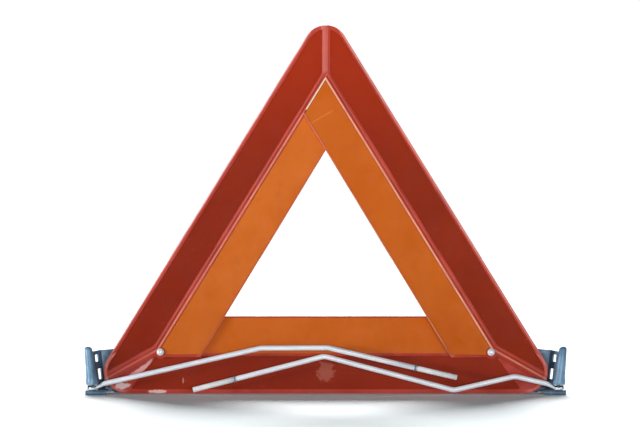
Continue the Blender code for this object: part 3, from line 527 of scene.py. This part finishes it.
def panel_finish(name, tones, marks=None):
    """Fluorescent orange sheet with a fine crossed texture, a little soiling and a faint painted glow.
    """
    s = Surface(name)
    colour = s.mix(s.drift(size=0.05, start=0.0, end=1.0, detail=4.0), *tones)
    soil = s.patches(size=0.014, low=0.58, high=0.75, detail=6.0)
    colour = s.tint(colour, PANEL_SOIL, soil, strength=0.3)
    if marks is not None:
        colour = marks(s, colour)
    s.set(Base_Color=colour, Roughness=s.drift(size=0.01, start=0.42, end=0.6))
    # A faint painted glow: the panel emits a little light of its own
    s.set(Emission_Color=PANEL_PAINTED_GLOW, Emission_Strength=0.03)
    s.set(Specular_IOR_Level=0.1, Normal=s.bump(prisms(s, PANEL_PITCH), depth=0.04 * MM))
    return s.material


def steel_finish():
    """Blue-grey painted steel, mottled, with rubbed lighter patches and painted shade low down."""
    s = Surface("blue_grey_steel")
    colour = s.mix(s.patches(size=0.018, low=0.35, high=0.65, detail=5.0), *STEEL_TONES)
    rub = s.patches(size=0.004, low=0.56, high=0.7, detail=5.0, stretch=(1.0, 1.0, 0.25))
    colour = s.tint(colour, STEEL_RUB, rub, strength=0.4)
    height = s.along(ALONG_Z)
    # Painted shade: darker towards the bottom, and a stripe of painted shade at the leg slot's height
    foot_shade = s.between(height, *FOOT_SHADE_Z, start=0.45, end=0.0)
    colour = s.mix(foot_shade, colour, STEEL_FOOT_SHADE)
    slot_shade = stripe(s, height, *SLOT_SHADE_Z, SLOT_SHADE_BLUR)
    colour = s.tint(colour, STEEL_SLOT_SHADE, slot_shade, strength=0.8)
    s.set(Base_Color=colour, Metallic=0.2, Roughness=s.drift(size=0.006, start=0.36, end=0.5))
    s.set(Specular_IOR_Level=0.35, Normal=s.bump(s.noise(size=0.002), depth=0.1 * MM))
    return s.material


def wire_finish():
    """Bright zinc-plated wire with drawing lines and a faint blue cast."""
    s = Surface("zinc_plated_wire")
    lines = s.noise(size=0.003, detail=4.0, stretch=(0.08, 1.0, 1.0))
    colour = s.mix(s.between(lines, *NOISE_RANGE), *WIRE_TONES)
    roughness = s.between(lines, *NOISE_RANGE, start=0.3, end=0.45)
    s.set(Base_Color=colour, Metallic=0.08, Roughness=roughness)
    s.set(Normal=s.bump(lines, depth=0.08 * MM))
    return s.material


def sleeve_finish():
    """White plastic end sleeve, slightly soiled."""
    s = Surface("pale_sleeve_plastic")
    colour = s.mix(s.patches(size=0.01, low=0.35, high=0.7, detail=4.0), *SLEEVE_TONES)
    s.set(Base_Color=colour, Roughness=s.drift(size=0.005, start=0.36, end=0.5))
    s.set(Normal=s.bump(s.noise(size=0.0015), depth=0.06 * MM))
    return s.material


def rivet_finish():
    """Bright plated fasteners with fine handling marks."""
    s = Surface("bright_rivet")
    marks = s.noise(size=0.0015, detail=5.0)
    colour = s.mix(s.between(marks, low=0.3, high=0.75), *RIVET_TONES)
    roughness = s.between(marks, *NOISE_RANGE, start=0.22, end=0.36)
    s.set(Base_Color=colour, Metallic=0.12, Roughness=roughness)
    s.set(Normal=s.bump(marks, depth=0.05 * MM))
    return s.material


# ---------------------------------------------------------------- CAD nodes


def dress(node, finish, rounding, sharp, smooth=True):
    """Gives a CAD node its finish and small rounded edges, without changing its mesh."""
    obj = frame["nodes"][node]
    obj.data.materials.clear()
    obj.data.materials.append(finish)
    if smooth:
        obj.data.shade_smooth()
    else:
        obj.data.shade_flat()
    weld = obj.modifiers.new("weld", "WELD")
    weld.merge_threshold = WELD_DISTANCE
    edge = obj.modifiers.new("edge", "BEVEL")
    edge.width = rounding
    edge.segments = ROUNDING_SEGMENTS
    edge.limit_method = "ANGLE"
    edge.angle_limit = math.radians(sharp)
    edge.harden_normals = smooth


def dress_triangle():
    """The three arms, each with its reflector and its panel."""
    carrier_marks = {
        # ridge, groove and lip set how strong the painted highlight lines and the painted groove shade
        # are
        "left": side_marks(LEFT, shift=-0.0003, ridge_highlight=0.45, groove=0.15, lip_highlight=0.35),
        "right": side_marks(RIGHT, shift=0.0006, ridge_highlight=0.8, groove=0.5, lip_highlight=0.75),
        "bottom": bottom_marks,
    }
    reflector_marks = {"bottom": reflector_wear}
    panel_marks = {"right": tail_streak}
    for label in ("left", "right", "bottom"):
        carrier = carrier_finish(f"carrier_red_{label}", CARRIER_TONES[label], carrier_marks[label])
        reflector = reflector_finish(
            f"red_reflector_{label}",
            REFLECTOR_TONES[label],
            painted_top_light=label != "bottom",
            marks=reflector_marks.get(label),
        )
        panel = panel_finish(f"fluorescent_orange_{label}", PANEL_TONES[label], panel_marks.get(label))
        dress(f"arm_{label}", carrier, CARRIER_ROUNDING, SHARP_IN_FLAT, smooth=False)
        dress(f"fluorescent_panel_{label}", panel, SHEET_ROUNDING, SHARP_IN_FLAT, smooth=False)
        dress(f"red_reflector_{label}", reflector, SHEET_ROUNDING, SHARP_IN_FLAT, smooth=False)


def dress_base():
    """The base, the legs, and the fixings of the whole triangle."""
    steel = steel_finish()
    wire = wire_finish()
    sleeve = sleeve_finish()
    rivet = rivet_finish()
    dress("base_rail", steel, STEEL_ROUNDING, SHARP_IN_FLAT, smooth=False)
    turned = {single: rivet for single in ("layer_washer_right", "apex_stud", "apex_socket")}
    for label in ("left", "right"):
        dress(f"end_bracket_{label}", steel, STEEL_ROUNDING, SHARP_IN_BRACKET)
        dress(f"leg_{label}", wire, SMALL_ROUNDING, SHARP_IN_WIRE)
        turned[f"leg_sleeve_{label}"] = sleeve
        turned[f"leg_ring_{label}"] = steel
        turned[f"leg_pivot_{label}"] = steel
        for fixing in ("arm_rivet", "rail_spacer", "base_screw"):
            turned[f"{fixing}_{label}"] = rivet
        for which in ("upper", "lower"):
            turned[f"bracket_rivet_{label}_{which}"] = rivet
    for node, finish in turned.items():
        dress(node, finish, SMALL_ROUNDING, SHARP_IN_TURNED)


# ---------------------------------------------------------------- studio


def floor():
    """The white ground that the base stands on."""
    bpy.ops.mesh.primitive_circle_add(vertices=96, radius=FLOOR_RADIUS, fill_type="NGON")
    obj = bpy.context.object
    obj.name = "studio_floor"
    s = Surface("studio_floor")
    s.set(Base_Color=FLOOR_COLOUR, Roughness=FLOOR_ROUGHNESS)
    obj.data.materials.append(s.material)
    return obj


def backdrop():
    """A white dome that only the camera sees, so that it neither lights nor reflects."""
    bpy.ops.mesh.primitive_uv_sphere_add(segments=48, ring_count=24, radius=BACKDROP_RADIUS)
    obj = bpy.context.object
    obj.name = "studio_backdrop"
    s = Surface("studio_backdrop")
    s.set(Base_Color=BLACK, Emission_Color=WHITE, Emission_Strength=BACKDROP_GLOW)
    obj.data.materials.append(s.material)
    for ray in ("diffuse", "glossy", "transmission", "volume_scatter", "shadow"):
        setattr(obj, f"visible_{ray}", False)


def aim(obj, target):
    """Turns a light so that it shines at a point."""
    direction = Vector(target) - obj.location
    obj.rotation_euler = direction.to_track_quat("-Z", "Y").to_euler()


def softbox(name, place, width, height, power):
    """A rectangular light in front, which the camera doesn't see."""
    data = bpy.data.lights.new(name, "AREA")
    data.shape = "RECTANGLE"
    data.size = width
    data.size_y = height
    data.energy = power
    obj = bpy.data.objects.new(name, data)
    obj.location = place
    obj.visible_camera = False
    bpy.context.scene.collection.objects.link(obj)
    aim(obj, SOFTBOX_TARGET)


def rear_sun(name, strength):
    """A soft sun behind the object, which throws the shadow in front of the base."""
    data = bpy.data.lights.new(name, "SUN")
    data.energy = strength
    data.angle = math.radians(REAR_SPREAD)
    obj = bpy.data.objects.new(name, data)
    obj.location = REAR_PLACE
    bpy.context.scene.collection.objects.link(obj)
    aim(obj, REAR_TARGET)
    return obj


def studio():
    """The stronger sun lights only the floor, which stays white while the object keeps its tone."""
    world = bpy.data.worlds.new("studio")
    world.use_nodes = True
    background = world.node_tree.nodes["Background"]
    background.inputs["Color"].default_value = WORLD_COLOUR
    background.inputs["Strength"].default_value = WORLD_STRENGTH
    bpy.context.scene.world = world
    floor_only = bpy.data.collections.new("floor_only")
    floor_only.objects.link(floor())
    backdrop()
    strong = rear_sun("rear_light_on_floor", REAR_STRENGTH_ON_FLOOR)
    strong.light_linking.receiver_collection = floor_only
    rear_sun("rear_light", REAR_STRENGTH)
    for settings in SOFTBOXES:
        softbox(*settings)


def camera():
    data = bpy.data.cameras.new("camera")
    data.sensor_width = SENSOR_WIDTH
    data.lens = CAMERA_LENS
    obj = bpy.data.objects.new("camera", data)
    obj.location = CAMERA_PLACE
    obj.rotation_euler = (math.pi / 2, 0.0, 0.0)
    bpy.context.scene.collection.objects.link(obj)
    bpy.context.scene.camera = obj
    bpy.context.scene.view_settings.view_transform = "Standard"


def clear_scene():
    for obj in list(bpy.data.objects):
        bpy.data.objects.remove(obj)


clear_scene()
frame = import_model()
camera()
studio()
dress_triangle()
dress_base()
